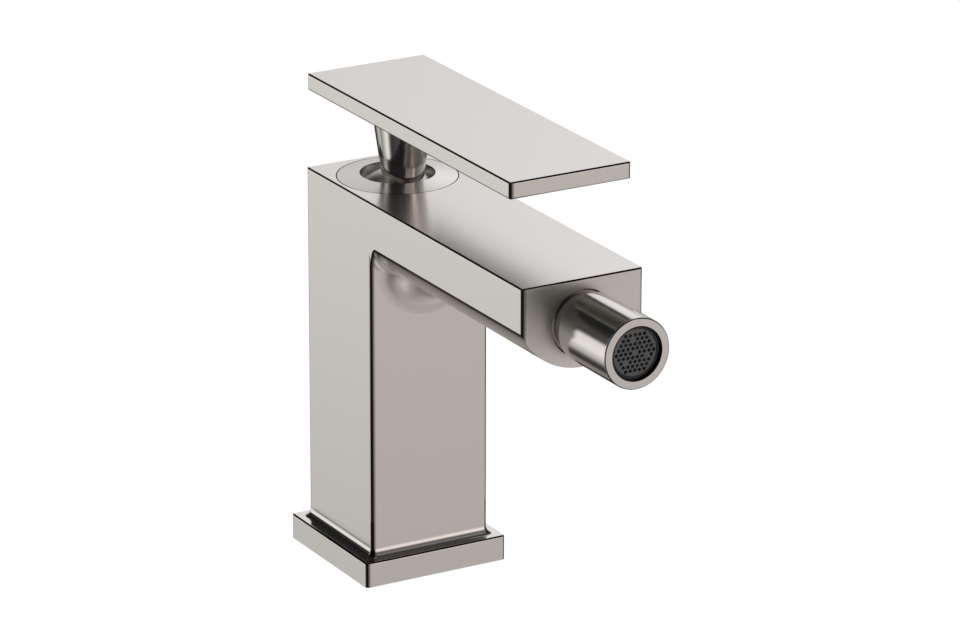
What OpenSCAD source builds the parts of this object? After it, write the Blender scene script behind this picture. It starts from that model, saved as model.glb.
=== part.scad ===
// Single-lever bidet mixer, millimetres.
// The origin is the centre of the foot on the deck. The spout and the lever
// point along -Y, +Z is up, and the lever is drawn closed, in line with the spout.

/* [Column] */
// Width and depth of the square column
col_w = 42; // [41.6:0.2:46]
// Height of the body's flat top above the deck
col_top = 126.6; // [118:0.2:160]
// Radius of the upright edges
edge_r = 1.1; // [0.8:0.1:3]
// Radius of the fine rounding along the top edges
rim_r = 0.6; // [0.3:0.1:1]
// How far the foot flares out at the base plate
foot_out = 1.8; // [1:0.1:2.4]
// Height of that flare
foot_h = 2.7; // [2.4:0.1:5]

/* [Spout] */
// Reach of the spout in front of the column
spout_reach = 94; // [70:1:140]
// Height of the spout's flat side walls
spout_side_h = 14.4; // [13.4:0.2:18]
// Drop of the rounded belly below the side walls
belly_drop = 13.6; // [11:0.2:17]
// Radius of the fillet between the belly and the column, at its two sides
belly_fillet = 3; // [2:0.5:5]
// How far that fillet reaches down the column in the middle
root_reach = 11.8; // [8:0.2:14]
// Radius of the water channel
channel_r = 5.5; // [4:0.25:6]
// Radius of the slanting channel that feeds it from the cartridge
riser_r = 4; // [3:0.25:4.5]

/* [Base plate and connections] */
// Width and depth of the square base plate
base_w = 50.6; // [50:0.2:60]
// Height of the base plate
base_h = 8.3; // [5:0.1:12]
// Radius of the brass foot insert that holds the connections
insert_r = 16.7; // [16.4:0.1:17.2]
// Height of the foot insert
insert_h = 24; // [20:1:30]
// Distance of each hose connection from the middle, sideways
inlet_x = 7.5; // [7.2:0.1:8.2]
// Distance of the hose connections in front of the cartridge axis
inlet_fwd = 5.5; // [5:0.1:6]
// Radius of the tapped hose connections, M10 x 1
inlet_r = 4.5; // [4:0.05:4.8]
// Depth of the tapped hose connections
inlet_depth = 13; // [10:1:16]
// Radius of the water ways through the body and the ceramic discs
way_r = 2.2; // [1.6:0.1:2.3]
// Radius of the tapped hole for the fixing stud, M8
stud_r = 3.4; // [2.5:0.1:4]
// Distance of the fixing stud behind the middle
stud_back = 10; // [9.5:0.1:11.5]
// Depth of the hole for the fixing stud
stud_depth = 16; // [12:1:18]
// Inner radius of the deck gasket
gasket_in_r = 18.6; // [18.2:0.1:19.6]
// Outer radius of the deck gasket
gasket_out_r = 22.6; // [21:0.1:23.4]
// Thickness of the deck gasket
gasket_t = 1.6; // [1:0.1:2.5]

/* [Lever] */
// Length of the lever plate
lever_len = 127.6; // [100:1:160]
// Overhang of the lever plate behind the column's middle
lever_back = 20; // [14:0.5:24]
// Thickness of the lever plate
lever_t = 5.4; // [5:0.1:8]
// Metal left above the stud's blind hole in the lever plate
lever_skin = 1.6; // [1.2:0.1:2]
// Clear height between the body and the lever plate
lever_gap = 25.8; // [24:0.2:34]
// Radius of the stem at its foot
stem_foot_r = 6.4; // [6.2:0.1:6.7]
// Radius of the stem under the lever plate
stem_top_r = 10.2; // [9:0.1:12]
// Depth of the stem's foot below the body's top
stem_foot_drop = 1.2; // [0.8:0.1:1.6]
// Width of the rounding round the stem's foot
stem_foot_round = 1; // [0.6:0.1:1.1]
// Radius of the stud that joins the stem and the plate, M6
lever_stud_r = 3; // [2:0.1:3.5]
// Radius of the grub screw that holds the stem, M5
grub_r = 2.5; // [2:0.1:2.6]
// Length of the grub screw
grub_len = 3.4; // [3:0.1:3.8]
// Height of the grub screw up the spindle
grub_h = 20; // [19:0.1:20.5]
// Depth of the stud's hole in the stem
stud_in_stem = 6; // [4:0.1:7]
// Full lift of the lever, degrees
lift = 25; // [22:0.5:26]

/* [Cover and ball cap] */
// Distance of the cartridge axis in front of the column's middle
cart_fwd = 0.6; // [0:0.1:0.8]
// Radius of the cover disc
cover_r = 19.25; // [19:0.05:19.4]
// Thickness of the cover disc
cover_t = 1.6; // [1.2:0.1:1.8]
// Rise of the cover disc from its rim to its opening
cover_rise = 1; // [0.2:0.1:1.2]
// Radius of the opening round the stem
opening_r = 11.8; // [11.5:0.1:12.2]
// Wall of the collar round that opening
collar_t = 0.8; // [0.5:0.1:1]
// Gap between that collar and the ball cap
cap_gap = 0.1; // [0.05:0.01:0.2]
// Outer radius of the ball cap under the opening
cap_r = 17.2; // [17:0.05:17.4]
// Wall of the ball cap
cap_t = 1.4; // [1:0.1:1.6]
// Depth of the lever's pivot below the body's top
pivot_drop = 15; // [15:0.1:15.4]

/* [Cartridge] */
// Radius of the cartridge
cart_r = 17.5; // [17.3:0.1:17.6]
// Radius of its lower part, which the mixed water flows round
cart_low_r = 16.4; // [16.2:0.1:16.6]
// Radius of its neck, round the lever's carrier
neck_r = 12.5; // [12.3:0.1:12.6]
// Height of the neck above the cartridge's shoulder
neck_h = 6.5; // [6.2:0.1:6.8]
// Wall of the cartridge housing
cart_wall = 1; // [0.8:0.05:1.1]
// Height of the cartridge below its shoulder
cart_depth = 22; // [22:0.5:26]
// Height of the nut that clamps the cartridge
nut_h = 5.2; // [4:0.1:5.3]
// Depth of the housing's rubber ring below the shoulder
housing_ring_z = 3.6; // [3:0.1:4.4]
// Depth of the groove for that ring
housing_groove = 1.3; // [1.1:0.05:1.4]
// Height of the rotor's rubber ring above the pivot
rotor_ring_z = 4.8; // [4:0.1:5]
// Depth of the grooves for the small rubber rings
small_groove = 0.95; // [0.8:0.05:1]
// Width of the grooves for the small rubber rings
small_groove_w = 1.2; // [1.1:0.05:1.4]
// Side of the spindle's square shank
shank_w = 7; // [6:0.1:7.2]
// Length of the spindle above its pivot
spindle_len = 24; // [23:0.5:26]
// Length of the spindle's lower arm, from the pivot to its ball end
arm_len = 7.5; // [7.3:0.1:7.7]
// Radius of the spindle's ball end
arm_ball_r = 2.3; // [2.1:0.1:2.4]
// Radius of the pivot pin
pin_r = 1.5; // [1.2:0.1:1.8]
// Distance of the pin's ends inside the rotor's barrel
pin_inset = 2; // [1:0.1:3]
// Thickness of each ceramic disc
ceramic_t = 3.3; // [3:0.05:3.4]
// Radius of the moving ceramic disc
moving_r = 12.9; // [12:0.1:13.2]
// Radius of the mixing pocket in the moving ceramic disc
pocket_r = 6.7; // [6:0.1:6.8]

/* [Outlet] */
// Depth of the nozzle's axis below the body's top
outlet_drop = 14; // [12.8:0.1:14.6]
// Radius of the recess in the spout's front face
recess_r = 10.7; // [10.2:0.1:11]
// Radius of the fixed flange inside that recess
flange_r = 9.2; // [9:0.1:9.6]
// Thickness of the fixed flange
flange_t = 1.6; // [1.2:0.1:2]
// Depth of the fixed flange's front inside the recess
flange_sink = 0.2; // [0.1:0.05:0.6]
// Radius of the threaded shank behind the flange
shank_r = 8; // [7.8:0.1:8.4]
// Length of that shank
shank_len = 12; // [9:0.5:16]
// Radius of the ball that the nozzle swivels on
ball_r = 8; // [7.9:0.05:8.1]
// Radius of the neck behind the ball
ball_neck_r = 4.2; // [3.9:0.1:4.4]
// Radius of the water bore through the ball
ball_bore_r = 3; // [2:0.1:3.2]
// Outer radius of the nozzle
nozzle_r = 11.15; // [11.1:0.05:11.8]
// Length of the nozzle
nozzle_len = 27.4; // [25:0.2:34]
// Gap between the spout's front and the nozzle
nozzle_gap = 4.2; // [4:0.1:7]
// Distance of the ball's centre from the nozzle's rear edge
ball_inset = 6.4; // [6.2:0.1:6.6]
// Radius of the nozzle's mouth
mouth_r = 8.63; // [8.55:0.01:8.75]
// Rounding of the nozzle's rear edge
nozzle_rear_r = 1; // [0.4:0.1:1.2]
// Rounding of the nozzle's front edge
nozzle_front_r = 0.4; // [0.2:0.1:0.8]
// Thickness of the seat round the ball
seat_t = 0.6; // [0.5:0.05:0.65]
// Centre radius of the rubber ring that seals on the ball
ball_seal_at = 4.9; // [4.7:0.05:5]
// Radius of that ring's section
ball_seal_r = 0.75; // [0.6:0.01:0.8]
// Radius of the water passage between the ball and the aerator
passage_r = 3.6; // [3.2:0.1:3.8]
// Radius of the thread for the ring behind the ball
ring_r = 9.7; // [9.4:0.05:9.8]
// Radius of the opening at the back of that ring
ring_open_r = 7.6; // [7.4:0.05:7.8]

/* [Aerator] */
// Radius of the perforated face
face_r = 7.36; // [7.2:0.02:7.4]
// Thickness of the perforated face
face_t = 1.2; // [0.8:0.1:1.4]
// Depth of the perforated face inside the mouth
face_sink = 1.3; // [1:0.1:1.6]
// Spacing of the jet holes
hole_pitch = 1.6; // [1.4:0.05:2]
// Radius of the jet holes
hole_r = 0.6; // [0.4:0.02:0.64]
// Wall of the nozzle between the ball's seal and the aerator
web_t = 1.2; // [1:0.05:1.4]
// Thickness of the aerator's washer
washer_t = 1.4; // [1:0.1:1.5]
// Inner radius of the aerator's washer
washer_in_r = 5.2; // [4.8:0.1:5.6]
// Thickness of the flow regulator
regulator_t = 2.6; // [2:0.1:2.6]
// Radius of the flow regulator
regulator_r = 6.55; // [6.4:0.05:6.6]
// Radius of each of the flow regulator's holes
regulator_hole_r = 0.9; // [0.6:0.1:1.1]

/* [Clearances] */
// Running fit of pins, balls and turning barrels
fit_gap = 0.05; // [0.03:0.01:0.08]
// Gap between parts that are screwed or pushed together
seat_gap = 0.05; // [0.03:0.01:0.1]
// Gap beside the sliding flats
slide_gap = 0.1; // [0.06:0.01:0.15]
// Visible groove round the cover disc
groove_gap = 0.2; // [0.15:0.01:0.3]
// Gap round the rubber rings
rubber_gap = 0.03; // [0.02:0.01:0.05]

/* [Hidden] */
$fn = 96;

// Finishes
nickel = "#c9c5be";
brass = "#b5893c";
steel = "#a9adb1";
rubber = "#26272a";
ceramic = "#ece9e2";
acetal = "#d9d7d0";
dark_plastic = "#55575a";

// Places that several parts share
half_w = col_w / 2;
spout_front = -half_w - spout_reach;
body_len = half_w - spout_front;
body_mid = half_w - body_len / 2;
cart_y = -cart_fwd;
pivot_z = col_top - pivot_drop;
chamber_z = pivot_z - cart_depth;
lean = lift / 2;
stem_y = cart_y - (pivot_drop + cover_rise) * tan(lean);
foot_z = col_top - stem_foot_drop;
lever_z = col_top + lever_gap;
lever_y = lever_back - lever_len / 2;
loose_gap = 0.2;
chamber_r = cart_r + loose_gap;
bore_r = cover_r + groove_gap;
cover_skirt = 1.05;
tiny = 0.01;

// Belly of the spout: an arc through the lower edges of its two side walls
side_z = col_top - spout_side_h;
belly_r = (half_w * half_w + belly_drop * belly_drop) / (2 * belly_drop);
belly_z = side_z - belly_drop + belly_r;
root_r = half_w - edge_r;
root_z = side_z - belly_drop - root_reach + root_r;

// Heights inside the cartridge, from the pivot
shoulder_t = 2;
rotor_floor = -5;
carrier_top = rotor_floor - slide_gap;
carrier_floor = -arm_len - arm_ball_r - 1.2;
guide_h = 1.5;
disc_floor = carrier_floor - 2 * ceramic_t - fit_gap;
base_t = cart_depth + disc_floor;
cavity_r = cart_low_r - cart_wall;
barrel_r = neck_r - 1.6;
slide_back = arm_len * sin(lean);
guide_w = 12;
mix_back = 3;
mix_r = 2.8;
seal_ring_r = 0.64;
ring_groove = 1.6;
cart_step = 6;
peg_w = 6;
peg_h = 0.8;

// Heights along the outlet, forwards from the centre of the ball
outlet_z = col_top - outlet_drop;
ball_y = spout_front - nozzle_gap - ball_inset;
face_z = -nozzle_gap - ball_inset;
recess_t = flange_t + flange_sink;
shank_z = face_z - recess_t - shank_len;
shank_ring_z = shank_z + small_groove_w + 1.4;
nozzle_end = nozzle_len - ball_inset;
seat_r = ball_r + fit_gap + seat_t;
socket_r = seat_r + fit_gap;
ring_z = -2;
seat_back = 3.2;
seat_front = 3.5;
seal_reach = ball_r + ball_seal_r + rubber_gap;
seal_z = sqrt(seal_reach * seal_reach - ball_seal_at * ball_seal_at);
aerator_z = seal_z + ball_seal_r + rubber_gap + web_t;
aerator_back = aerator_z + washer_t;
aerator_front = nozzle_end - face_sink;
cup_lip = 0.25;

// A square with round corners, centred
module round_square(w, d, r) {
    square([w - 2 * r, d], center = true);
    square([w, d - 2 * r], center = true);
    for (x = [-1, 1], y = [-1, 1])
        translate([x * (w / 2 - r), y * (d / 2 - r)]) circle(r);
}

// A bar seen from its end, standing on the X axis, with round top corners
module bar_outline(w, h, r) {
    translate([-w / 2 + r, 0]) square([w - 2 * r, h]);
    translate([-w / 2, 0]) square([w, h - r]);
    for (x = [-1, 1]) translate([x * (w / 2 - r), h - r]) circle(r);
}

// A plate or block with round upright edges and a fine rounding along its
// level edges, cut by the three outlines that a drawing of it would show
module soft_block(w, d, h, corner_r, level_r) {
    intersection() {
        linear_extrude(h) round_square(w, d, corner_r);
        rotate([90, 0, 0])
            linear_extrude(d, center = true) children(0);
        rotate([90, 0, 90])
            linear_extrude(w, center = true) children(1);
    }
}

// A ring or disc on the local Z axis
module ring(r_out, r_in, h) {
    rotate_extrude() translate([r_in, 0]) square([r_out - r_in, h]);
}

// A rubber ring of round section
module o_ring(centre_r, section_r) {
    rotate_extrude() translate([centre_r, 0]) circle(section_r, $fn = 32);
}

// Frame of the cartridge: the origin is the lever's pivot
module at_cartridge(z = 0) {
    translate([0, cart_y, pivot_z + z]) children();
}

// Frame of the lever: +Z runs up the leaning spindle from the pivot
module at_spindle() {
    at_cartridge() rotate([lean, 0, 0]) children();
}

// Frame of the outlet: +Z runs forwards out of the ball's centre
module at_ball(forward = 0) {
    translate([0, ball_y - forward, outlet_z]) rotate([90, 0, 0]) children();
}

// Section of the flare at the foot of the column, outside the face at x = 0
module flare_section(inset) {
    flare_r = (foot_h * foot_h + foot_out * foot_out) / (2 * foot_out);
    difference() {
        translate([-inset, 0]) square([inset + foot_out, foot_h]);
        translate([flare_r, foot_h]) circle(flare_r);
    }
}

// The flare goes round the column: four straights and four quarter turns
module foot_flare() {
    straight = half_w - edge_r;
    for (quarter = [0:3]) rotate([0, 0, 90 * quarter]) {
        translate([straight, straight, 0])
            rotate_extrude(angle = 90) translate([edge_r, 0]) flare_section(edge_r - tiny);
        translate([half_w, 0, 0]) rotate([90, 0, 0])
            linear_extrude(2 * straight, center = true) flare_section(edge_r);
    }
}

// Front outline of the spout: flat sides with an arc below
module spout_outline() {
    translate([-half_w, side_z]) square([col_w, spout_side_h]);
    intersection() {
        translate([0, belly_z]) circle(belly_r, $fn = 180);
        translate([-half_w, side_z - belly_drop]) square([col_w, belly_drop + 1]);
    }
}

// Even fillet along the belly. It reaches back into the column's round edges, and
// ends there in a slope
module side_fillet(back) {
    depth = belly_fillet + back;
    rotate_extrude($fn = 180) difference() {
        polygon([
            [belly_r - 1, 0], [belly_r + 0.2 * belly_fillet, 0],
            [belly_r + 0.6 * belly_fillet, back], [belly_r + belly_fillet, back],
            [belly_r + belly_fillet, depth], [belly_r - 1, depth]
        ]);
        translate([belly_r + belly_fillet, depth]) circle(belly_fillet);
    }
}

// Deeper fillet in the middle. It thins out towards the column's edges
module middle_fillet(back) {
    fillet_r = root_reach + 0.2;
    depth = fillet_r + back;
    rotate_extrude($fn = 180) difference() {
        translate([1, 0]) square([root_r - 1, depth]);
        translate([root_r, depth]) circle(fillet_r);
    }
}

// Root of the spout, where the belly runs into the column's front face
module belly_root() {
    back = edge_r + 0.2;
    depth = root_reach + 1;
    intersection() {
        translate([0, back - half_w, 0]) rotate([90, 0, 0]) {
            translate([0, belly_z, 0]) side_fillet(back);
            translate([0, root_z, 0]) middle_fillet(back);
        }
        translate([-half_w, -half_w - depth, 0]) cube([col_w, depth + back, side_z]);
    }
}

// Outside of the body: column, foot and spout in one casting
module body_outside() {
    spout_back = -half_w + edge_r + 1;
    intersection() {
        union() {
            translate([0, 0, base_h])
                linear_extrude(col_top - base_h) round_square(col_w, col_w, edge_r);
            intersection() {
                translate([0, spout_back, 0]) rotate([90, 0, 0])
                    linear_extrude(spout_back - spout_front) spout_outline();
                translate([0, body_mid, 0])
                    linear_extrude(col_top) round_square(col_w, body_len, edge_r);
            }
            belly_root();
        }
        translate([0, body_mid, 0]) rotate([90, 0, 0])
            linear_extrude(body_len, center = true) bar_outline(col_w, col_top, rim_r);
        translate([0, body_mid, 0]) rotate([90, 0, 90])
            linear_extrude(col_w, center = true) bar_outline(body_len, col_top, rim_r);
    }
    translate([0, 0, base_h]) foot_flare();
}

// The slanting channel that takes the mixed water from the chamber's side up
// into the spout
module riser() {
    low = [cart_y - chamber_r + 6, pivot_z - 13];
    high = [-half_w - 10, outlet_z];
    run = high - low;
    translate([0, low[0], low[1]]) rotate([atan2(-run[0], run[1]), 0, 0])
        cylinder(r = riser_r, h = norm(run));
}

module body() {
    channel_back = -half_w - riser_r - 2;
    color(nickel) difference() {
        body_outside();
        // Wide bore for the cover disc and the nut, over the cartridge chamber
        at_cartridge(-0.3) cylinder(r = bore_r, h = pivot_drop + 1);
        at_cartridge(-cart_depth) cylinder(r = chamber_r, h = cart_depth);
        // Two water ways up from the foot insert, and the pocket for the insert
        for (x = [-inlet_x, inlet_x])
            translate([x, cart_y - inlet_fwd, base_h])
                cylinder(r = way_r, h = chamber_z - base_h + 1);
        translate([0, 0, base_h - 1])
            cylinder(r = insert_r + seat_gap, h = insert_h - base_h + 1 + tiny);
        // Recess, threaded bore and water channel behind the outlet
        translate([0, spout_front - 1, outlet_z]) rotate([-90, 0, 0]) {
            cylinder(r = recess_r, h = recess_t + 1);
            cylinder(r = shank_r + seat_gap, h = recess_t + shank_len + 1.5);
            cylinder(r = channel_r, h = channel_back - spout_front + 1);
        }
        riser();
    }
}

module foot_insert() {
    color(brass) difference() {
        cylinder(r = insert_r, h = insert_h);
        for (x = [-inlet_x, inlet_x]) translate([x, cart_y - inlet_fwd, 0]) {
            translate([0, 0, -1]) cylinder(r = inlet_r, h = inlet_depth + 1);
            cylinder(r = way_r, h = insert_h + 1);
        }
        translate([0, stud_back, -1]) cylinder(r = stud_r, h = stud_depth + 1);
    }
}

module base_plate() {
    color(nickel) difference() {
        soft_block(base_w, base_w, base_h, edge_r, rim_r) {
            bar_outline(base_w, base_h, rim_r);
            bar_outline(base_w, base_h, rim_r);
        }
        translate([0, 0, -1]) cylinder(r = insert_r + seat_gap, h = base_h + 2);
        translate([0, 0, -1])
            ring(gasket_out_r + seat_gap, gasket_in_r - seat_gap, gasket_t + 1);
    }
}

module base_gasket() {
    color(rubber) ring(gasket_out_r, gasket_in_r, gasket_t);
}

// Shallow cone that rises to its opening, with a skirt that sits on the nut and
// a collar that reaches down to the ball cap
module cover_disc() {
    skirt_z = nut_h - pivot_drop;
    skirt_in = cover_r - cover_skirt;
    collar_z = sqrt(pow(cap_r + cap_gap, 2) - opening_r * opening_r) - pivot_drop;
    collar_out = opening_r + collar_t;
    color(nickel) at_cartridge(pivot_drop) rotate_extrude() polygon([
        [cover_r, skirt_z], [cover_r, -0.15], [cover_r - 0.15, 0],
        [opening_r + 0.2, cover_rise], [opening_r, cover_rise - 0.2],
        [opening_r, collar_z], [collar_out, collar_z],
        [collar_out, cover_rise - cover_t], [skirt_in, -cover_t], [skirt_in, skirt_z]
    ]);
}

// Threaded ring with six slots for its spanner
module cartridge_nut() {
    color(brass) at_cartridge() difference() {
        ring(bore_r - seat_gap, neck_r + 0.2, nut_h);
        for (slot = [0:5]) rotate([0, 0, 60 * slot + 30])
            translate([neck_r + 1.6, -1.5, nut_h - 2]) cube([10, 3, 3]);
    }
}

module cartridge_housing() {
    groove_z = -housing_ring_z;
    groove_r = cart_r - housing_groove;
    color(dark_plastic) at_cartridge() rotate_extrude() polygon([
        [cavity_r, disc_floor], [cart_low_r, disc_floor], [cart_low_r, -cart_step],
        [cart_r, -cart_step], [cart_r, groove_z - ring_groove / 2],
        [groove_r, groove_z - ring_groove / 2], [groove_r, groove_z + ring_groove / 2],
        [cart_r, groove_z + ring_groove / 2], [cart_r, 0], [neck_r, 0],
        [neck_r, neck_h], [barrel_r + fit_gap, neck_h],
        [barrel_r + fit_gap, -shoulder_t], [cavity_r, -shoulder_t]
    ]);
}

module housing_o_ring() {
    inner = cart_r - housing_groove;
    color(rubber) at_cartridge(-housing_ring_z)
        o_ring((inner + chamber_r) / 2, (chamber_r - inner) / 2 - rubber_gap);
}

// Bottom of the cartridge: two inlets, and a mixed outlet that leaves at the back
module cartridge_base() {
    flange_h = 1.5;
    color(dark_plastic) at_cartridge(-cart_depth) difference() {
        union() {
            cylinder(r = cart_low_r, h = base_t);
            cylinder(r = cart_r, h = flange_h);
        }
        for (x = [-inlet_x, inlet_x]) translate([x, -inlet_fwd, -1]) {
            cylinder(r = way_r, h = base_t + 2);
            cylinder(r = way_r + 1.8, h = 2 * seal_ring_r + 1 + 2 * rubber_gap);
        }
        translate([0, mix_back, flange_h + 0.4]) cylinder(r = mix_r, h = base_t);
        translate([-mix_r, mix_back, flange_h + 0.4])
            cube([2 * mix_r, cart_low_r, base_t]);
    }
}

// The two rings that seal the inlets on the floor of the chamber
module port_seals() {
    color(rubber) at_cartridge(-cart_depth + seal_ring_r + rubber_gap)
        for (x = [-inlet_x, inlet_x]) translate([x, -inlet_fwd, 0])
            o_ring(way_r + 1.1, seal_ring_r);
}

module fixed_disc() {
    color(ceramic) at_cartridge(disc_floor) difference() {
        cylinder(r = cavity_r - loose_gap, h = ceramic_t);
        for (x = [-inlet_x, inlet_x]) translate([x, -inlet_fwd, -1])
            cylinder(r = way_r, h = ceramic_t + 2);
        translate([0, mix_back, -1]) cylinder(r = mix_r, h = ceramic_t + 2);
    }
}

// Slides on the fixed disc. Its mixing pocket is on the axis when it is closed
module moving_disc() {
    color(ceramic) at_cartridge(carrier_floor - ceramic_t) difference() {
        translate([0, slide_back, 0]) cylinder(r = moving_r, h = ceramic_t);
        translate([0, 0, -1]) cylinder(r = pocket_r, h = 2.6);
        translate([0, slide_back, ceramic_t - peg_h - slide_gap])
            linear_extrude(peg_h + 1) square(peg_w + 2 * seat_gap, center = true);
    }
}

// Carries the moving disc. Its tongue is guided in the rotor's groove, and the
// spindle's ball end works in its square pocket
module disc_carrier() {
    ball_w = 2 * (arm_ball_r + fit_gap);
    tongue_h = guide_h - slide_gap;
    color(acetal) at_cartridge() translate([0, slide_back, 0]) difference() {
        union() {
            translate([0, 0, carrier_floor])
                cylinder(r = cavity_r - slide_back - 0.35, h = carrier_top - carrier_floor);
            translate([-guide_w / 2, -9, carrier_top - 1])
                cube([guide_w, 18, tongue_h + 1]);
            translate([0, 0, carrier_floor - peg_h])
                linear_extrude(peg_h + 1) square(peg_w, center = true);
        }
        translate([-ball_w / 2, -ball_w / 2, -arm_len - arm_ball_r - 0.1])
            cube([ball_w, ball_w, arm_len]);
        translate([-ball_w / 2, -3.6, -5.8]) cube([ball_w, 7.2, 5]);
    }
}

// Turns in the housing's neck and carries the pivot pin
module rotor() {
    slot_w = shank_w + 2 * slide_gap;
    slot_half = neck_h * tan(lean) + shank_w / 2 / cos(lean) + 0.4;
    color(acetal) at_cartridge() difference() {
        union() {
            translate([0, 0, rotor_floor]) cylinder(r = barrel_r, h = neck_h - rotor_floor);
            translate([0, 0, rotor_floor])
                cylinder(r = cavity_r - loose_gap, h = -shoulder_t - slide_gap - rotor_floor);
        }
        translate([-slot_w / 2, -slot_half, rotor_floor - 1])
            cube([slot_w, 2 * slot_half, neck_h - rotor_floor + 2]);
        translate([-guide_w / 2 - slide_gap, -cavity_r, rotor_floor - 1])
            cube([guide_w + 2 * slide_gap, 2 * cavity_r, guide_h + 1]);
        rotate([0, 90, 0]) cylinder(r = pin_r + 0.02, h = 2 * barrel_r + 2, center = true);
        translate([0, 0, rotor_ring_z - small_groove_w / 2])
            ring(barrel_r + 1, barrel_r - small_groove, small_groove_w);
    }
}

module rotor_o_ring() {
    inner = barrel_r - small_groove;
    outer = barrel_r + fit_gap;
    color(rubber) at_cartridge(rotor_ring_z)
        o_ring((inner + outer) / 2, (outer - inner) / 2 - rubber_gap / 2);
}

module spindle_pin() {
    color(steel) at_cartridge() rotate([0, 90, 0])
        cylinder(r = pin_r, h = 2 * (barrel_r - pin_inset), center = true);
}

// Square shank above the pivot, ball-ended arm below it
module spindle() {
    color(steel) at_spindle() difference() {
        union() {
            translate([-shank_w / 2, -shank_w / 2, 0])
                cube([shank_w, shank_w, spindle_len]);
            rotate([0, 90, 0])
                cylinder(r = shank_w / 2 + fit_gap, h = shank_w, center = true);
            translate([0, 0, -arm_len]) cylinder(r = arm_ball_r - 0.7, h = arm_len);
            translate([0, 0, -arm_len]) sphere(arm_ball_r, $fn = 48);
        }
        rotate([0, 90, 0])
            cylinder(r = pin_r + fit_gap, h = shank_w + 2, center = true);
    }
}

// Dome that closes the cover's opening at every angle of the lever
module ball_cap() {
    cap_angle = asin(opening_r / (cap_r + cap_gap)) + lean + 2;
    hole_w = shank_w + 2 * seat_gap;
    color(nickel) at_spindle() difference() {
        intersection() {
            sphere(cap_r);
            translate([0, 0, cap_r * cos(cap_angle)]) cylinder(r = cap_r + 1, h = cap_r);
        }
        sphere(cap_r - cap_t);
        translate([-hole_w / 2, -hole_w / 2, 0]) cube([hole_w, hole_w, cap_r + 1]);
    }
}

// Outside of the stem: a long cone whose foot is rounded in line with the ball cap
module stem_turning() {
    shoulder = stem_foot_r - stem_foot_round;
    round_r = stem_foot_r / cos(lean) + 0.15 - shoulder;
    touch_r = cap_r + seat_gap;
    round_z = sqrt(touch_r * touch_r - shoulder * shoulder) + round_r;
    reach = 2 * (pivot_drop + lever_gap);
    intersection() {
        translate([0, stem_y, 0]) rotate_extrude() polygon([
            [0, foot_z - 4], [stem_foot_r, foot_z - 4], [stem_foot_r, foot_z],
            [stem_top_r, lever_z], [0, lever_z]
        ]);
        at_spindle() rotate_extrude() {
            polygon([
                [0, round_z - 6], [shoulder, round_z - 6], [shoulder, round_z],
                [reach, round_z], [reach, reach], [0, reach]
            ]);
            translate([shoulder, round_z]) circle(round_r, $fn = 48);
        }
    }
}

module lever_stem() {
    socket_w = shank_w + 2 * seat_gap;
    color(nickel) difference() {
        stem_turning();
        at_cartridge() sphere(cap_r + seat_gap);
        at_spindle() {
            translate([-socket_w / 2, -socket_w / 2, 0])
                cube([socket_w, socket_w, spindle_len + 0.2]);
            translate([0, 0, grub_h]) rotate([-90, 0, 0])
                cylinder(r = grub_r + seat_gap, h = stem_top_r + 10);
        }
        translate([0, stem_y, lever_z - stud_in_stem])
            cylinder(r = lever_stud_r + seat_gap, h = stud_in_stem + 1);
    }
}

module lever_stud() {
    color(steel) translate([0, stem_y, lever_z - stud_in_stem])
        cylinder(r = lever_stud_r, h = stud_in_stem + lever_t - lever_skin - seat_gap);
}

module lever_plate() {
    color(nickel) difference() {
        translate([0, lever_y, lever_z])
            soft_block(col_w, lever_len, lever_t, edge_r, rim_r) {
                translate([0, lever_t / 2]) round_square(col_w, lever_t, rim_r);
                translate([0, lever_t / 2]) round_square(lever_len, lever_t, rim_r);
            }
        translate([0, stem_y, lever_z - 1])
            cylinder(r = lever_stud_r + seat_gap, h = lever_t + 1 - lever_skin);
    }
}

// Bears on the back of the spindle's shank, with a hexagon socket
module grub_screw() {
    color(steel) at_spindle() translate([0, shank_w / 2 + rubber_gap, grub_h])
        rotate([-90, 0, 0]) difference() {
            cylinder(r = grub_r, h = grub_len);
            translate([0, 0, grub_len - 2]) cylinder(r = grub_r * 0.55, h = 3, $fn = 6);
        }
}

// Small plug over the grub screw, flush with the stem
module screw_plug() {
    start = shank_w / 2 + rubber_gap + grub_len + seat_gap;
    color(dark_plastic) intersection() {
        at_spindle() translate([0, start, grub_h]) rotate([-90, 0, 0])
            cylinder(r = grub_r, h = stem_top_r);
        stem_turning();
    }
}

// Fixed part of the outlet: threaded shank, flange, neck and ball, bored through,
// with a hexagon socket for the key that screws it in
module ball_stub() {
    color(nickel) at_ball() difference() {
        union() {
            translate([0, 0, shank_z]) cylinder(r = shank_r, h = shank_len + 0.5);
            translate([0, 0, face_z - recess_t]) cylinder(r = flange_r, h = flange_t);
            translate([0, 0, shank_z]) cylinder(r = ball_neck_r, h = -shank_z);
            sphere(ball_r);
        }
        translate([0, 0, shank_z - 1]) cylinder(r = ball_bore_r, h = ball_r - shank_z + 2);
        translate([0, 0, 2]) cylinder(r = ball_bore_r * 1.2, h = ball_r, $fn = 6);
        translate([0, 0, shank_ring_z - small_groove_w / 2])
            ring(shank_r + 1, shank_r - small_groove, small_groove_w);
    }
}

module stub_o_ring() {
    inner = shank_r - small_groove;
    outer = shank_r + seat_gap;
    color(rubber) at_ball(shank_ring_z)
        o_ring((inner + outer) / 2, (outer - inner) / 2 - rubber_gap / 2);
}

// Slip ring between the ball and the nozzle, round on both sides
module ball_seat() {
    color(acetal) at_ball() intersection() {
        difference() {
            sphere(seat_r);
            sphere(ball_r + fit_gap);
        }
        translate([0, 0, -seat_back]) cylinder(r = seat_r + 1, h = seat_back + seat_front);
    }
}

// Rubber ring in the nozzle that seals on the front of the ball
module ball_seal() {
    color(rubber) at_ball(seal_z) o_ring(ball_seal_at, ball_seal_r);
}

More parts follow.
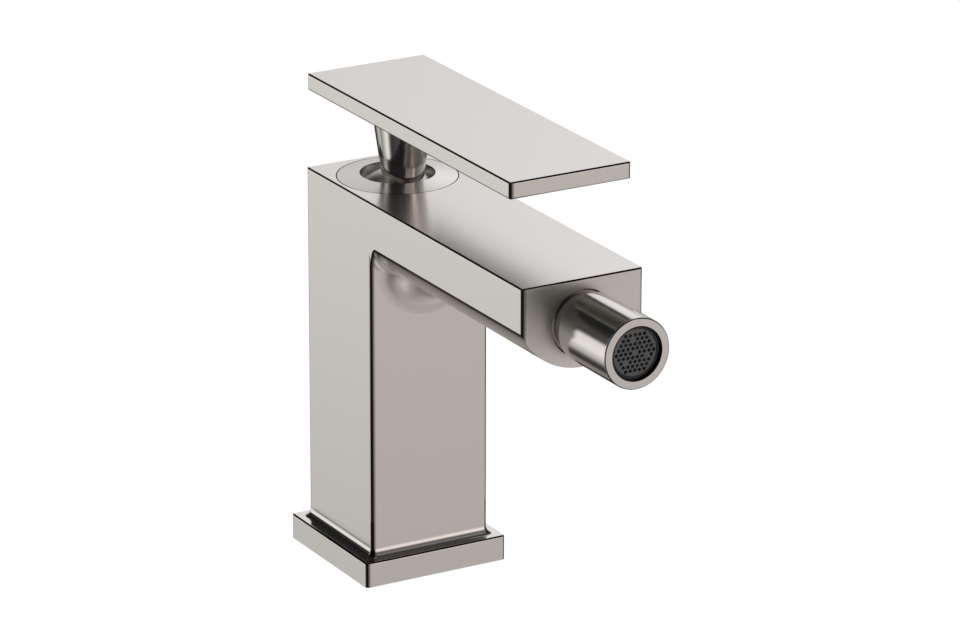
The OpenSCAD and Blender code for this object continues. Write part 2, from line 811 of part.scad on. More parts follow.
// Turned sleeve: thread for the ring at the back, round socket for the seat,
// web with the seal's groove, and the aerator's mouth
module nozzle_sleeve() {
    color(nickel) at_ball() difference() {
        rotate_extrude() {
            translate([0, -ball_inset + nozzle_rear_r])
                square([nozzle_r, nozzle_len - nozzle_rear_r - nozzle_front_r]);
            translate([0, -ball_inset]) square([nozzle_r - nozzle_rear_r, nozzle_len]);
            translate([0, nozzle_end - 1]) square([nozzle_r - nozzle_front_r, 1]);
            translate([nozzle_r - nozzle_rear_r, -ball_inset + nozzle_rear_r])
                circle(nozzle_rear_r, $fn = 48);
            translate([nozzle_r - nozzle_front_r, nozzle_end - nozzle_front_r])
                circle(nozzle_front_r, $fn = 48);
        }
        translate([0, 0, -ball_inset - 1]) cylinder(r = ring_r, h = ball_inset + 1 + ring_z);
        translate([0, 0, ring_z - 1]) cylinder(r = socket_r, h = 1 - ring_z);
        sphere(socket_r);
        cylinder(r = passage_r, h = nozzle_end);
        translate([0, 0, seal_z]) o_ring(ball_seal_at, ball_seal_r + rubber_gap);
        translate([0, 0, aerator_z]) cylinder(r = mouth_r, h = nozzle_end);
    }
}

// Screwed in behind the ball, with two holes for its pin spanner
module nozzle_ring() {
    back = -ball_inset + 0.2;
    color(nickel) at_ball() difference() {
        translate([0, 0, back]) cylinder(r = ring_r - seat_gap, h = ring_z - back - seat_gap);
        sphere(socket_r);
        translate([0, 0, back - 1]) cylinder(r = ring_open_r, h = 3);
        for (side = [-1, 1]) translate([side * (ring_open_r + ring_r) / 2, 0, back - 1])
            cylinder(r = 0.5, h = 2);
    }
}

module aerator_washer() {
    color(rubber) at_ball(aerator_z) ring(mouth_r - seat_gap, washer_in_r, washer_t);
}

// Cup with an external thread, a seat for the regulator and a thin front rim
module aerator_housing() {
    outside = mouth_r - seat_gap;
    rim_back = aerator_front - face_t - seat_gap;
    rim_out = face_r + 0.6;
    rim_front = aerator_front + 0.2;
    inside = regulator_r + seat_gap;
    lip_r = inside - 0.8;
    color(dark_plastic) at_ball() rotate_extrude() polygon([
        [inside, aerator_back], [outside, aerator_back], [outside, rim_back],
        [rim_out, rim_back], [rim_out, rim_front], [face_r + seat_gap, rim_front],
        [face_r + seat_gap, rim_back], [lip_r, rim_back],
        [lip_r, rim_back - cup_lip], [inside, rim_back - cup_lip]
    ]);
}

// Disc with six holes that evens out the flow, behind the lip of the cup
module flow_regulator() {
    front = aerator_front - face_t - seat_gap - cup_lip;
    color(acetal) at_ball(front - regulator_t) difference() {
        cylinder(r = regulator_r, h = regulator_t);
        for (hole = [0:5]) rotate([0, 0, 60 * hole]) translate([regulator_r * 0.6, 0, -1])
            cylinder(r = regulator_hole_r, h = regulator_t + 2);
    }
}

// Jet holes on a grid of equal triangles. Four places stay closed: the middle
// and three round it
module aerator_face() {
    rows = ceil(face_r / hole_pitch) + 1;
    closed = [[0, 0], [3, -1], [-2, 3], [-1, -2]];
    color(dark_plastic) at_ball(aerator_front - face_t) difference() {
        cylinder(r = face_r, h = face_t);
        for (row = [-rows:rows], place = [-2 * rows:2 * rows]) {
            x = hole_pitch * (place + row / 2);
            y = hole_pitch * row * sin(60);
            open = [for (spot = closed) if (spot == [place, row]) spot] == [];
            if (open && norm([x, y]) < face_r - hole_r - 0.25)
                translate([x, y, -1]) cylinder(r = hole_r, h = face_t + 2, $fn = 16);
        }
    }
}

body();
foot_insert();
base_plate();
base_gasket();
cover_disc();
cartridge_nut();
cartridge_housing();
housing_o_ring();
cartridge_base();
port_seals();
fixed_disc();
moving_disc();
disc_carrier();
rotor();
rotor_o_ring();
spindle_pin();
spindle();
ball_cap();
lever_stem();
lever_stud();
lever_plate();
grub_screw();
screw_plug();
ball_stub();
stub_o_ring();
ball_seat();
ball_seal();
nozzle_sleeve();
nozzle_ring();
aerator_washer();
aerator_housing();
flow_regulator();
aerator_face();
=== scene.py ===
import math

import bmesh
import bpy
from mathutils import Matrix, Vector


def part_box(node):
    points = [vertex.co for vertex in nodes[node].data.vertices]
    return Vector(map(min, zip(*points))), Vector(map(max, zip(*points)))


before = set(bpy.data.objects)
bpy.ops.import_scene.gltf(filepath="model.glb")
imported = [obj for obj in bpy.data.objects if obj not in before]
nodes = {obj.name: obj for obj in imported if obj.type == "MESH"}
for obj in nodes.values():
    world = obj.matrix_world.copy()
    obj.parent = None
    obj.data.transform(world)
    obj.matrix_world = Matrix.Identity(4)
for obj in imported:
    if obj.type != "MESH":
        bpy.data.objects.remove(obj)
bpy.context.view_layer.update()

scene = bpy.context.scene


# Studio: the mixer stands on a pale floor in front of white. A tent of soft boxes
# and black flags surrounds it, because plated metal shows little else. The camera
# stands at the left of the spout and looks down on the mixer by 20 degrees.
def linear(hex_colour):
    """sRGB hex to the linear RGBA that a shader socket takes."""
    channels = [int(hex_colour[i:i + 2], 16) / 255 for i in (1, 3, 5)]
    return [c / 12.92 if c <= 0.04045 else ((c + 0.055) / 1.055) ** 2.4 for c in channels] + [1]


def add(tree, kind, settings=None, links=None):
    """Adds a node, sets its options and sockets by name or number, and links sockets."""
    node = tree.nodes.new(kind)
    for key, value in (settings or {}).items():
        if isinstance(key, int) or key in node.inputs:
            node.inputs[key].default_value = value
        else:
            setattr(node, key, value)
    for key, value in (links or {}).items():
        tree.links.new(value, node.inputs[key])
    return node


scene.view_settings.view_transform = "Standard"
camera = bpy.data.objects.new("camera", bpy.data.cameras.new("camera"))
scene.collection.objects.link(camera)
scene.camera = camera
view_azimuth, view_elevation = math.radians(-29.479), math.radians(19.823)
view_target, view_distance = Vector((0, -0.040, 0.080)), 1.742
towards_camera = Vector((math.sin(view_azimuth) * math.cos(view_elevation),
                         -math.cos(view_azimuth) * math.cos(view_elevation),
                         math.sin(view_elevation)))
camera.location = view_target + towards_camera * view_distance
camera.rotation_euler = towards_camera.to_track_quat("Z", "Y").to_euler()
# The lens and its shift, in pixels of an image of this width
image_width, focal_length, shift_right, shift_up = 960, 5586, 20.89, 29.76
camera.data.lens = focal_length / image_width * camera.data.sensor_width
camera.data.shift_x = shift_right / image_width
camera.data.shift_y = shift_up / image_width
camera.data.clip_start, camera.data.clip_end = 0.05, 50

# Only the camera and diffuse light see the floor. The metal mirrors the tent instead.
floor_radius = 8
floor_mesh = bmesh.new()
bmesh.ops.create_circle(floor_mesh, cap_ends=True, radius=floor_radius, segments=96)
floor = bpy.data.objects.new("floor", bpy.data.meshes.new("floor"))
floor_mesh.to_mesh(floor.data)
floor_mesh.free()
scene.collection.objects.link(floor)
floor.visible_glossy = False

# Matt white paper. To the camera it glows at full white, like the background, so the
# mixer's soft shadow on it doesn't show.
glow_strength, glow_share = 1.12, 0.9
paper = bpy.data.materials.new("matt white paper")
paper.use_nodes = True
tree = paper.node_tree
tree.nodes.clear()
sheet = add(tree, "ShaderNodeBsdfDiffuse", {"Color": linear("#e6e6e4")})
glow = add(tree, "ShaderNodeEmission", {"Color": [1, 1, 1, 1], "Strength": glow_strength})
ray = add(tree, "ShaderNodeLightPath")
seen = add(tree, "ShaderNodeMath", {"operation": "MULTIPLY", 1: glow_share},
           {0: ray.outputs["Is Camera Ray"]})
both = add(tree, "ShaderNodeMixShader", None,
           {0: seen.outputs[0], 1: sheet.outputs[0], 2: glow.outputs[0]})
add(tree, "ShaderNodeOutputMaterial", None, {"Surface": both.outputs[0]})
floor.data.materials.append(paper)

# The tent, from the bottom up: at each elevation, in degrees, the tone of the light
# by azimuth. 0 is to the right of the spout, 90 behind it and -90 in front of it.
# The tones are placed one by one, for the faces that the camera sees.
tent = [
    (-80, [(-180, 0.40), (60, 0.20)]),
    (-62, [(-180, 0.30), (-130, 0.66), (-105, 0.66), (-80, 0.36), (-55, 0.34), (-35, 0.46),
           (0, 0.20), (60, 0.08), (120, 0.20)]),
    (-47, [(-180, 0.15), (-140, 0.32), (-122, 0.45), (-108, 0.48), (-95, 0.40), (-70, 0.44),
           (-35, 0.60), (0, 0.20), (60, 0.05), (100, 0.06), (140, 0.60), (170, 0.45)]),
    (-34, [(-180, 0.25), (-174, 0.04), (-140, 0.06), (-103, 0.10), (-84, 0.22), (-70, 0.44),
           (-30, 0.40), (-5, 0.15), (60, 0.03), (100, 0.03), (114, 0.07), (126, 0.18),
           (136, 0.50), (151, 0.85), (165, 1.10), (173, 0.80)]),
    (-25, [(-180, 0.20), (-174, 0.05), (-150, 0.08), (-125, 0.38), (-90, 0.50), (-60, 0.47),
           (-30, 0.46), (-8, 0.20), (40, 0.12), (52, 0.05), (84, 0.04), (97, 0.06),
           (108, 0.28), (114, 0.51), (120, 0.63), (126, 0.54), (134, 0.24), (149, 0.42),
           (165, 0.75), (173, 0.55)]),
    (-14, [(-180, 0.25), (-165, 0.14), (-128, 0.62), (-112, 0.60), (-90, 0.60), (-60, 0.63),
           (-44, 0.58), (-20, 0.45), (0, 0.25), (36, 0.20), (50, 0.10), (84, 0.06),
           (97, 0.08), (108, 0.60), (119, 0.94), (126, 0.96), (140, 0.70), (165, 0.55)]),
    (1, [(-180, 0.02), (-112, 0.03), (-90, 0.12), (-72, 0.30), (-66, 0.95), (-62, 1.10),
         (-58, 0.95), (-52, 0.50), (0, 0.40), (50, 0.66), (90, 0.60), (112, 0.86),
         (125, 0.98), (136, 0.40), (150, 0.12), (163, 0.04)]),
    (8, [(-180, 0.02), (-108, 0.02), (-90, 0.03), (-72, 0.10), (-66, 0.80), (-62, 1.05),
         (-58, 0.80), (-52, 0.20), (0, 0.40), (60, 0.66), (72, 0.54), (90, 0.25),
         (104, 0.03), (126, 0.03), (136, 0.20), (147, 0.40), (156, 0.20), (164, 0.10),
         (172, 0.02)]),
    (19, [(-180, 0.02), (-108, 0.02), (-90, 0.04), (-72, 0.06), (-62, 0.70), (-52, 0.10),
          (-36, 0.20), (0, 0.55), (40, 0.90), (54, 1.12), (60, 0.87), (66, 0.78),
          (76, 0.40), (90, 0.03), (122, 0.02), (134, 0.35), (147, 0.80), (156, 0.45),
          (164, 0.10), (172, 0.02)]),
    (29, [(-180, 0.02), (-170, 0.01), (-108, 0.01), (-90, 0.03), (-76, 0.05), (-62, 0.16),
          (-40, 0.12), (-20, 0.10), (0, 0.16), (26, 0.55), (46, 0.92), (60, 0.96),
          (73, 0.54), (84, 0.02), (126, 0.01), (136, 0.35), (147, 0.75), (156, 0.50),
          (164, 0.15), (172, 0.02)]),
    (38, [(-180, 0.02), (-112, 0.01), (-88, 0.02), (-60, 0.12), (-45, 0.14), (-20, 0.08),
          (4, 0.12), (30, 0.45), (52, 0.72), (66, 0.66), (80, 0.02), (126, 0.01),
          (140, 0.30), (156, 0.25), (168, 0.05)]),
    (50, [(-180, 0.03), (-100, 0.02), (-65, 0.10), (-45, 0.24), (-25, 0.10), (-5, 0.03),
          (15, 0.10), (40, 0.40), (62, 0.25), (80, 0.04), (115, 0.02), (145, 0.12),
          (170, 0.08)]),
    (64, [(-180, 0.10), (-100, 0.03), (-60, 0.10), (-35, 0.12), (-14, 0.03), (2, 0.04),
          (34, 0.45), (90, 0.20), (140, 0.20)]),
    (80, [(-180, 0.40), (-60, 0.30), (20, 0.45), (90, 0.50)]),
]
# The light in front is warm, and low down still a little. High up it is nearly
# neutral. The front lies between two azimuths, and low down ends at an elevation.
front_tint, low_tint, high_tint = (1.073, 1.0, 0.975), (1.016, 1.0, 0.972), (1.012, 1.0, 1.015)
front_start, front_end, low_end = -110, -10, 5
world = bpy.data.worlds.new("studio tent")
scene.world = world
world.use_nodes = True
tree = world.node_tree
tree.nodes.clear()
place = add(tree, "ShaderNodeTexCoord")
split = add(tree, "ShaderNodeSeparateXYZ", None, {"Vector": place.outputs["Generated"]})
around = add(tree, "ShaderNodeTexGradient", {"gradient_type": "RADIAL"},
             {"Vector": place.outputs["Generated"]})
light = below = None
for elevation, tones in tent:
    band = add(tree, "ShaderNodeValToRGB", None, {"Fac": around.outputs["Fac"]})
    stops = band.color_ramp.elements
    stops.remove(stops[1])
    for azimuth, tone in tones + [(180, tones[0][1])]:
        position = azimuth / 360 + 0.5
        stop = stops[0] if azimuth == -180 else stops.new(position)
        stop.position = position
        in_front = front_start < azimuth < front_end
        tint = front_tint if in_front else low_tint if elevation < low_end else high_tint
        stop.color = [tone * part for part in tint] + [1]
    if light is None:
        light = band.outputs["Color"]
    else:
        rise = add(tree, "ShaderNodeMapRange",
                   {"interpolation_type": "SMOOTHSTEP", "From Min": math.sin(math.radians(below)),
                    "From Max": math.sin(math.radians(elevation))},
                   {"Value": split.outputs["Z"]})
        blend = add(tree, "ShaderNodeMix", {"data_type": "RGBA"},
                    {0: rise.outputs["Result"], 6: light, 7: band.outputs["Color"]})
        light = blend.outputs[2]
    below = elevation
# The camera alone sees plain white behind the mixer
tent_light = add(tree, "ShaderNodeBackground", {"Strength": 1.0}, {"Color": light})
backdrop = add(tree, "ShaderNodeBackground", {"Color": [1, 1, 1, 1], "Strength": 1.0})
ray = add(tree, "ShaderNodeLightPath")
both = add(tree, "ShaderNodeMixShader", None,
           {0: ray.outputs["Is Camera Ray"], 1: tent_light.outputs[0], 2: backdrop.outputs[0]})
add(tree, "ShaderNodeOutputWorld", None, {"Surface": both.outputs[0]})


# Body: column, foot and spout are one hollow brass casting, ground flat, brushed
# with a belt and plated with satin nickel. Flat faces blur what they mirror. The
# narrow rounded edges get painted dark lines, painted shade in place of the dark they mirror.
def belt_lines(tree, place, facing):
    """The belt's scratches: level on the walls, and along the spout on the tops."""
    # They are about 0.05 mm wide, too fine to show, so they are drawn 0.25 mm wide
    along, across = 60, 4000
    runs = []
    for stretch in ([along, along, across], [across, along, along]):
        stretched = add(tree, "ShaderNodeMapping", {"Scale": stretch},
                        {"Vector": place.outputs["Object"]})
        run = add(tree, "ShaderNodeTexNoise", {"Scale": 1.0, "Detail": 3.0, "Roughness": 0.6},
                  {"Vector": stretched.outputs[0]})
        runs.append(run.outputs["Fac"])
    level = add(tree, "ShaderNodeMapRange", {"From Min": 0.5, "From Max": 0.8},
                {"Value": facing.outputs["Z"]})
    return add(tree, "ShaderNodeMix", {"data_type": "FLOAT"},
               {0: level.outputs["Result"], 2: runs[0], 3: runs[1]})


def painted_edge_shade(tree, spot, facing, side, above, left_side):
    """Painted shade: dark lines on rounded edges above a height, and on the left borders of
    fronts.
    """
    # An edge is where the surface faces none of the three main directions
    wall = add(tree, "ShaderNodeMath", {"operation": "MAXIMUM"},
               {0: side.outputs["X"], 1: side.outputs["Y"]})
    flat = add(tree, "ShaderNodeMath", {"operation": "MAXIMUM"},
               {0: wall.outputs[0], 1: side.outputs["Z"]})
    edge_shade_mask = add(tree, "ShaderNodeMapRange", {"From Min": 0.97, "From Max": 0.93},
               {"Value": flat.outputs[0]})
    # Not the edges underneath, nor those of the top at the right and at the back: the painted
    # shade goes only where the light leaves edges dark
    upward = add(tree, "ShaderNodeMapRange", {"From Min": -0.15, "From Max": -0.05},
                 {"Value": facing.outputs["Z"]})
    away = add(tree, "ShaderNodeMath", {"operation": "MAXIMUM"},
               {0: facing.outputs["X"], 1: facing.outputs["Y"]})
    near = add(tree, "ShaderNodeMapRange", {"From Min": 0.3, "From Max": 0.15},
               {"Value": away.outputs[0]})
    top = add(tree, "ShaderNodeMapRange", {"From Min": 0.1, "From Max": 0.25},
              {"Value": facing.outputs["Z"]})
    kept = add(tree, "ShaderNodeMix", {"data_type": "FLOAT", 2: 1.0},
               {0: top.outputs["Result"], 3: near.outputs["Result"]})
    # Upright corners at the left fade into the front and the back
    fade = add(tree, "ShaderNodeMapRange", {"From Min": 0.99, "From Max": 0.75},
               {"Value": side.outputs["Y"]})
    right = add(tree, "ShaderNodeMath", {"operation": "GREATER_THAN", 1: 0.0},
                {0: facing.outputs["X"]})
    fade = add(tree, "ShaderNodeMath", {"operation": "MAXIMUM"},
               {0: fade.outputs["Result"], 1: right.outputs[0]})
    high = add(tree, "ShaderNodeMath", {"operation": "GREATER_THAN", 1: above},
               {0: spot.outputs["Z"]})
    for part in (upward.outputs["Result"], kept.outputs[0], fade.outputs[0], high.outputs[0]):
        edge_shade_mask = add(tree, "ShaderNodeMath", {"operation": "MULTIPLY"},
                   {0: edge_shade_mask.outputs[0], 1: part})
    # The painted shade also runs along the left border of a front, so that the corner's
    # dark runs out softly, from 0.6 to 1.7 mm in
    left = add(tree, "ShaderNodeMapRange",
               {"From Min": left_side + 0.0017, "From Max": left_side + 0.0006},
               {"Value": spot.outputs["X"]})
    ahead = add(tree, "ShaderNodeMapRange", {"From Min": -0.4, "From Max": -0.6},
                {"Value": facing.outputs["Y"]})
    left = add(tree, "ShaderNodeMath", {"operation": "MULTIPLY"},
               {0: left.outputs["Result"], 1: ahead.outputs["Result"]})
    return add(tree, "ShaderNodeMath", {"operation": "MAXIMUM"},
               {0: edge_shade_mask.outputs[0], 1: left.outputs[0]})


# The casting in metres: half the column's width, the top of the foot's flare and
# the height up to which it is polished, and the spout's front with its outlet's
# height and the recess round the flange. A mask reaches a skin's depth under a face.
column_half, flare_top, foot_zone = 0.021, 0.0112, 0.02
spout_front, outlet_z, recess_r, recess_depth = -0.115, 0.1126, 0.0107, 0.005
skin = 0.00005


def casting_painted_shade(tree, place, spot, facing, side, foot):
    """More painted shade, which only the casting has: corner, belly and recess."""
    # The painted dark line of upright corners goes on down over the flare of the foot
    corner = add(tree, "ShaderNodeMath", {"operation": "MINIMUM"},
                 {0: side.outputs["X"], 1: side.outputs["Y"]})
    corner = add(tree, "ShaderNodeMapRange", {"From Min": 0.12, "From Max": 0.25},
                 {"Value": corner.outputs[0]})
    corner = add(tree, "ShaderNodeMath", {"operation": "MULTIPLY"},
                 {0: corner.outputs["Result"], 1: foot.outputs[0]})
    # Painted shade on the last 0.4 mm of the belly at its two borders
    width = add(tree, "ShaderNodeMath", {"operation": "ABSOLUTE"}, {0: spot.outputs["X"]})
    border = add(tree, "ShaderNodeMapRange",
                 {"From Min": column_half - 0.0008, "From Max": column_half - 0.0004},
                 {"Value": width.outputs[0]})
    under = add(tree, "ShaderNodeMapRange", {"From Min": -0.05, "From Max": -0.2},
                {"Value": facing.outputs["Z"]})
    border = add(tree, "ShaderNodeMath", {"operation": "MULTIPLY"},
                 {0: border.outputs["Result"], 1: under.outputs["Result"]})
    # And painted shade on the wall of the recess round the outlet's flange, where shade falls
    level_with = add(tree, "ShaderNodeVectorMath",
                     {"operation": "MULTIPLY_ADD", 1: (1, 0, 1), 2: (0, 0, -outlet_z)},
                     {0: place.outputs["Object"]})
    from_outlet = add(tree, "ShaderNodeVectorMath", {"operation": "LENGTH"},
                      {0: level_with.outputs[0]})
    inside = add(tree, "ShaderNodeMath", {"operation": "LESS_THAN", 1: recess_r + skin},
                 {0: from_outlet.outputs["Value"]})
    recess = add(tree, "ShaderNodeMapRange",
                 {"From Min": recess_r - 0.0011, "From Max": recess_r - 0.0005},
                 {"Value": from_outlet.outputs["Value"]})
    front = add(tree, "ShaderNodeMath", {"operation": "LESS_THAN", 1: spout_front + recess_depth},
                {0: spot.outputs["Y"]})
    behind = add(tree, "ShaderNodeMath", {"operation": "GREATER_THAN", 1: spout_front + skin},
                 {0: spot.outputs["Y"]})
    for part in (inside, front, behind):
        recess = add(tree, "ShaderNodeMath", {"operation": "MULTIPLY"},
                     {0: recess.outputs[0], 1: part.outputs[0]})
    return corner, border, recess


nickel_colour, blasted_colour = linear("#e7e4df"), linear("#f2efea")
# Painted shade: the colour of the dark lines on edges, borders and the recess
painted_shade_colour = linear("#2b2826")
flare_blur, plate_blur, blasted_blur = 0.11, 0.16, 0.42


def brushed_nickel(name, painted_shade_above, left_side, casting):
    """Satin nickel over belt-brushed faces, with painted dark lines, as shade, on edges above a
    height.
    """
    material = bpy.data.materials.new(name)
    material.use_nodes = True
    tree = material.node_tree
    tree.nodes.clear()
    place = add(tree, "ShaderNodeTexCoord")
    spot = add(tree, "ShaderNodeSeparateXYZ", None, {"Vector": place.outputs["Object"]})
    facing = add(tree, "ShaderNodeSeparateXYZ", None, {"Vector": place.outputs["Normal"]})
    sides = add(tree, "ShaderNodeVectorMath", {"operation": "ABSOLUTE"},
                {0: place.outputs["Normal"]})
    side = add(tree, "ShaderNodeSeparateXYZ", None, {"Vector": sides.outputs[0]})
    lines = belt_lines(tree, place, facing)
    belt_blur = add(tree, "ShaderNodeMapRange",
                    {"From Min": 0.3, "From Max": 0.7, "To Min": 0.21, "To Max": 0.24},
                    {"Value": lines.outputs[0]})
    relief = add(tree, "ShaderNodeBump", {"Strength": 0.02, "Distance": 0.00002},
                 {"Height": lines.outputs[0]})
    # The belt doesn't get at the foot's flare and the plate's top. They are polished
    # by hand and mirror more sharply.
    foot = add(tree, "ShaderNodeMath", {"operation": "LESS_THAN", 1: foot_zone},
               {0: spot.outputs["Z"]})
    slope = add(tree, "ShaderNodeMapRange", {"From Min": 0.02, "From Max": 0.3},
                {"Value": facing.outputs["Z"]})
    by_hand = add(tree, "ShaderNodeMath", {"operation": "MULTIPLY"},
                  {0: foot.outputs[0], 1: slope.outputs["Result"]})
    blur = add(tree, "ShaderNodeMix",
               {"data_type": "FLOAT", 3: flare_blur if casting else plate_blur},
               {0: by_hand.outputs[0], 2: belt_blur.outputs["Result"]})
    # Painted shade: dark lines on the edges and on the left borders of fronts
    edge_shade_mask = painted_edge_shade(tree, spot, facing, side, painted_shade_above, left_side)
    colour = add(tree, "ShaderNodeMix", {"data_type": "RGBA", 6: nickel_colour, 7: painted_shade_colour})
    if casting:
        # The spout's front is blasted before plating. It is a little lighter and
        # mirrors the nozzle only dully.
        blasted = add(tree, "ShaderNodeMath", {"operation": "LESS_THAN", 1: spout_front + skin},
                      {0: spot.outputs["Y"]})
        blur = add(tree, "ShaderNodeMix", {"data_type": "FLOAT", 3: blasted_blur},
                   {0: blasted.outputs[0], 2: blur.outputs[0]})
        plating = add(tree, "ShaderNodeMix",
                      {"data_type": "RGBA", 6: nickel_colour, 7: blasted_colour},
                      {0: blasted.outputs[0]})
        tree.links.new(plating.outputs[2], colour.inputs[6])
        # The casting's painted shade on corners, belly borders and recess
        for part in casting_painted_shade(tree, place, spot, facing, side, foot):
            edge_shade_mask = add(tree, "ShaderNodeMath", {"operation": "MAXIMUM"},
                       {0: edge_shade_mask.outputs[0], 1: part.outputs[0]})
    tree.links.new(edge_shade_mask.outputs[0], colour.inputs[0])
    surface = add(tree, "ShaderNodeBsdfPrincipled", {"Metallic": 1.0},
                  {"Base Color": colour.outputs[2], "Roughness": blur.outputs[0],
                   "Normal": relief.outputs[0]})
    add(tree, "ShaderNodeOutputMaterial", None, {"Surface": surface.outputs[0]})
    return material


def finish(name, material):
    """Gives a piece of the frame its material in place of the plain one."""
    nodes[name].data.materials.clear()
    nodes[name].data.materials.append(material)


finish("body", brushed_nickel("belt-brushed nickel on the casting", flare_top, -column_half, True))


# Foot insert: a round brass bar, turned and drilled, pressed into the bottom of the
# casting. The two hoses and the fixing stud screw into it. It isn't plated, so it
# shows warm yellow metal with fine rings.
def turned(name, colour, axis, centre, roughness, ring_mm, edges=False):
    """Metal off a lathe: fine rings round an axis through a centre, and painted dark lines as
    shade on its edges if asked.
    """
    material = bpy.data.materials.new(name)
    material.use_nodes = True
    tree = material.node_tree
    tree.nodes.clear()
    place = add(tree, "ShaderNodeTexCoord")
    from_centre = add(tree, "ShaderNodeVectorMath", {"operation": "SUBTRACT", 1: centre},
                      {0: place.outputs["Object"]})
    along = add(tree, "ShaderNodeVectorMath", {"operation": "DOT_PRODUCT", 1: axis},
                {0: from_centre.outputs[0]})
    across = add(tree, "ShaderNodeVectorMath", {"operation": "CROSS_PRODUCT", 1: axis},
                 {0: from_centre.outputs[0]})
    radius = add(tree, "ShaderNodeVectorMath", {"operation": "LENGTH"}, {0: across.outputs[0]})
    section = add(tree, "ShaderNodeCombineXYZ", None,
                  {"X": along.outputs["Value"], "Y": radius.outputs["Value"]})
    rings = add(tree, "ShaderNodeTexNoise",
                {"Scale": 1000 / ring_mm, "Detail": 2.0, "Roughness": 0.5},
                {"Vector": section.outputs[0]})
    rough = add(tree, "ShaderNodeMapRange",
                {"From Min": 0.3, "From Max": 0.7,
                 "To Min": roughness - 0.03, "To Max": roughness + 0.03},
                {"Value": rings.outputs["Fac"]})
    relief = add(tree, "ShaderNodeBump", {"Strength": 0.05, "Distance": 0.00003},
                 {"Height": rings.outputs["Fac"]})
    surface = add(tree, "ShaderNodeBsdfPrincipled", {"Base Color": colour, "Metallic": 1.0},
                  {"Roughness": rough.outputs["Result"], "Normal": relief.outputs[0]})
    # Painted shade: dark lines on rounded edges, where the surface leans partway towards the axis
    if edges:
        lean = add(tree, "ShaderNodeVectorMath", {"operation": "DOT_PRODUCT", 1: axis},
                   {0: place.outputs["Normal"]})
        inner = add(tree, "ShaderNodeMapRange", {"From Min": 0.25, "From Max": 0.4},
                    {"Value": lean.outputs["Value"]})
        outer = add(tree, "ShaderNodeMapRange", {"From Min": 0.97, "From Max": 0.93},
                    {"Value": lean.outputs["Value"]})
        edge_shade_mask = add(tree, "ShaderNodeMath", {"operation": "MULTIPLY"},
                   {0: inner.outputs["Result"], 1: outer.outputs["Result"]})
        tone = add(tree, "ShaderNodeMix", {"data_type": "RGBA", 6: colour, 7: painted_shade_colour},
                   {0: edge_shade_mask.outputs[0]})
        tree.links.new(tone.outputs[2], surface.inputs["Base Color"])
    add(tree, "ShaderNodeOutputMaterial", None, {"Surface": surface.outputs[0]})
    return material


# A lathe tool leaves a ring at each 0.15 mm of feed, here drawn 0.3 mm apart
feed_mm = 0.3
upright = (0, 0, 1)
brass_colour = linear("#d9b36a")
column_axis = Vector((0, 0, 0))
finish("foot_insert", turned("turned bare brass", brass_colour, upright, column_axis, 0.26,
                             feed_mm))

# Base plate: a separate square of brass, brushed and plated as the casting is, and
# held under it by the fixing stud. Its top is polished by hand and mirrors the foot.
plate_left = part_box("base_plate")[0][0]
finish("base_plate", brushed_nickel("belt-brushed nickel on the base plate", 0.0, plate_left,
                                    False))


# Gasket under the base plate, and the rubber rings inside the mixer: nitrile rubber,
# pressed in a mould. The skin is dull and nearly black, with a fine spark-eroded grain.
def moulded(name, colour, roughness, grain_mm, shade):
    """Rubber or plastic out of a mould, with its grain and a faint change of shade."""
    material = bpy.data.materials.new(name)
    material.use_nodes = True
    tree = material.node_tree
    tree.nodes.clear()
    place = add(tree, "ShaderNodeTexCoord")
    grain = add(tree, "ShaderNodeTexNoise", {"Scale": 1000 / grain_mm, "Detail": 3.0},
                {"Vector": place.outputs["Object"]})
    # The melt's flow changes the shade over some millimetres
    flow_mm = 8
    flow = add(tree, "ShaderNodeTexNoise", {"Scale": 1000 / flow_mm, "Detail": 1.0},
               {"Vector": place.outputs["Object"]})
    mottle = add(tree, "ShaderNodeMath", {"operation": "MULTIPLY"},
                 {0: grain.outputs["Fac"], 1: flow.outputs["Fac"]})
    light_tone = linear(colour)
    dark_tone = [part * shade for part in light_tone[:3]] + [1]
    tone = add(tree, "ShaderNodeMix", {"data_type": "RGBA", 6: light_tone, 7: dark_tone},
               {0: mottle.outputs[0]})
    rough = add(tree, "ShaderNodeMapRange",
                {"From Min": 0.3, "From Max": 0.7,
                 "To Min": roughness - 0.05, "To Max": roughness + 0.05},
                {"Value": grain.outputs["Fac"]})
    relief = add(tree, "ShaderNodeBump", {"Strength": 0.2, "Distance": 0.00002},
                 {"Height": grain.outputs["Fac"]})
    surface = add(tree, "ShaderNodeBsdfPrincipled", None,
                  {"Base Color": tone.outputs[2], "Roughness": rough.outputs["Result"],
                   "Normal": relief.outputs[0]})
    add(tree, "ShaderNodeOutputMaterial", None, {"Surface": surface.outputs[0]})
    return material


rubber = moulded("moulded nitrile rubber", "#232324", 0.58, 0.3, 0.7)
for name in ("base_gasket", "housing_o_ring", "port_seals", "rotor_o_ring", "stub_o_ring",
             "ball_seal", "aerator_washer"):
    finish(name, rubber)

# Cartridge housing and base: glass-filled nylon, injection moulded, and clipped
# together round the discs. The fibres leave a coarse, half-matt grey skin.
filled_nylon = moulded("moulded glass-filled nylon", "#4b4d50", 0.42, 0.5, 0.75)
finish("cartridge_housing", filled_nylon)
finish("cartridge_base", filled_nylon)

# Ceramic discs: pressed and fired alumina, lapped flat so that they seal on each
# other with no rubber between them. Cream white, nearly as smooth as glass.
alumina = moulded("lapped alumina", "#efece4", 0.16, 0.2, 0.93)
finish("fixed_disc", alumina)
finish("moving_disc", alumina)

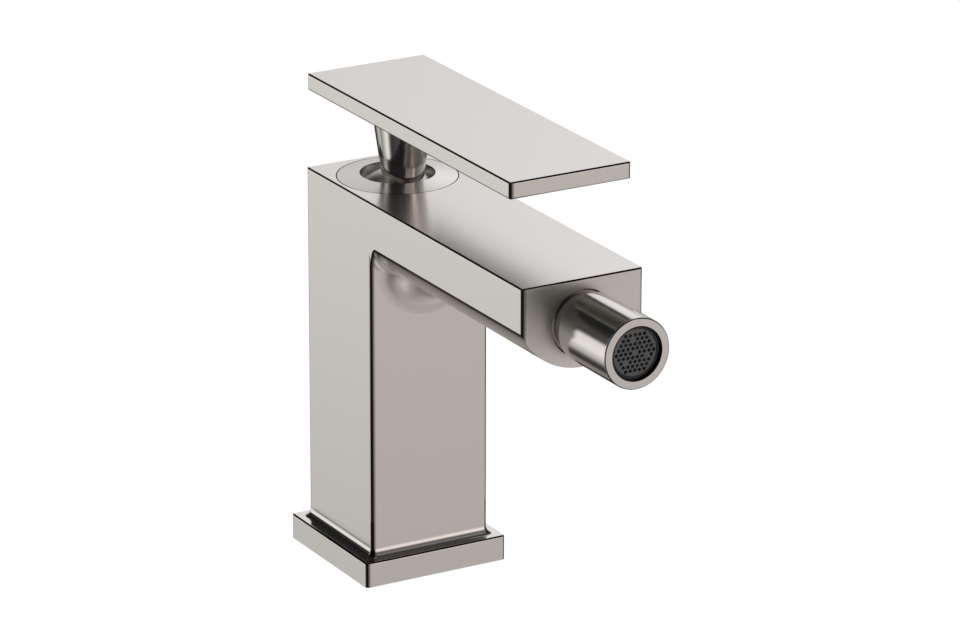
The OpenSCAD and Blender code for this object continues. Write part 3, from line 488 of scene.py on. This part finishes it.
# Disc carrier and rotor: unfilled acetal, injection moulded, which slides well on
# itself and on the housing. White and a little waxy. The slip ring round the
# nozzle's ball and the flow regulator are made of it too.
acetal = moulded("moulded white acetal", "#e2e0da", 0.36, 0.5, 0.92)
for name in ("disc_carrier", "rotor", "ball_seat", "flow_regulator"):
    finish(name, acetal)

# Pivot pin, spindle, lever stud and grub screw: stainless steel, turned and ground,
# a cool even grey with faint rings. The pin is pressed through rotor and spindle.
pivot = Vector((0, -0.0006, 0.1116))
grinding_mm = 0.25
steel = turned("ground stainless steel", linear("#c9cacb"), upright, pivot, 0.22, grinding_mm)
for name in ("spindle_pin", "spindle", "lever_stud", "grub_screw"):
    finish(name, steel)

# Cartridge nut: a brass ring, turned, threaded and slotted for its spanner, which
# clamps the cartridge down in its chamber. Bare and yellow, as the foot insert is.
finish("cartridge_nut", turned("turned brass of the nut", brass_colour, upright, pivot, 0.24,
                               feed_mm))

# Ball cap and cover disc: nickel-plated brass. The cap is a satin dome on the
# spindle that closes the cover's opening. The cover is pushed in over the nut. The
# border of its opening and its rounded edges get painted dark lines, painted shade.
finish("ball_cap", turned("satin nickel on the cap", nickel_colour, upright, pivot, 0.32, feed_mm))
finish("cover_disc", turned("turned nickel on the cover", nickel_colour, upright, pivot, 0.24,
                            feed_mm, edges=True))

# Stem: a cone of plated brass on the spindle, polished finer than the walls, so it
# mirrors the studio in upright strips. A dark plug hides the grub screw at its back.
stem_axis = Vector((0, -0.00415, 0))
finish("lever_stem", turned("turned nickel on the stem", nickel_colour, upright, stem_axis, 0.12,
                            feed_mm))
finish("screw_plug", moulded("moulded grey polyethylene", "#55575a", 0.45, 0.3, 0.85))

# Lever plate: flat brass bar, brushed lengthwise and plated as the body is, screwed
# to the stem from below with a hidden stud.
lever_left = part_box("lever_plate")[0][0]
finish("lever_plate", brushed_nickel("belt-brushed nickel on the lever", 0.0, lever_left, False))

# Outlet: a turned and plated flange with a neck and a ball, screwed into the spout.
# A turned sleeve swivels on the ball, held by a ring screwed in behind it. The
# flange is blasted and dull, and the sleeve carries sharp strips of light.
outlet_axis = Vector((0, 0, outlet_z))
finish("ball_stub", turned("turned nickel on the flange", blasted_colour, (0, 1, 0), outlet_axis,
                           0.5, feed_mm))
# Painted shade: dark lines on the rounded edges of sleeve and ring
nozzle_nickel = turned("turned nickel on the nozzle", nickel_colour, (0, -1, 0), outlet_axis, 0.15,
                       feed_mm, edges=True)
finish("nozzle_sleeve", nozzle_nickel)
finish("nozzle_ring", nozzle_nickel)

# Aerator: a threaded acetal cup with a perforated disc clipped into its front, which
# breaks the water into a soft jet. The cup is nearly black, with a faint shine, and
# the disc is a lighter, half-matt grey that lets its holes stand out.
finish("aerator_housing", moulded("moulded dark acetal", "#2e2d2d", 0.32, 0.4, 0.8))
finish("aerator_face", moulded("moulded grey acetal", "#b2b3b5", 0.42, 0.5, 0.85))
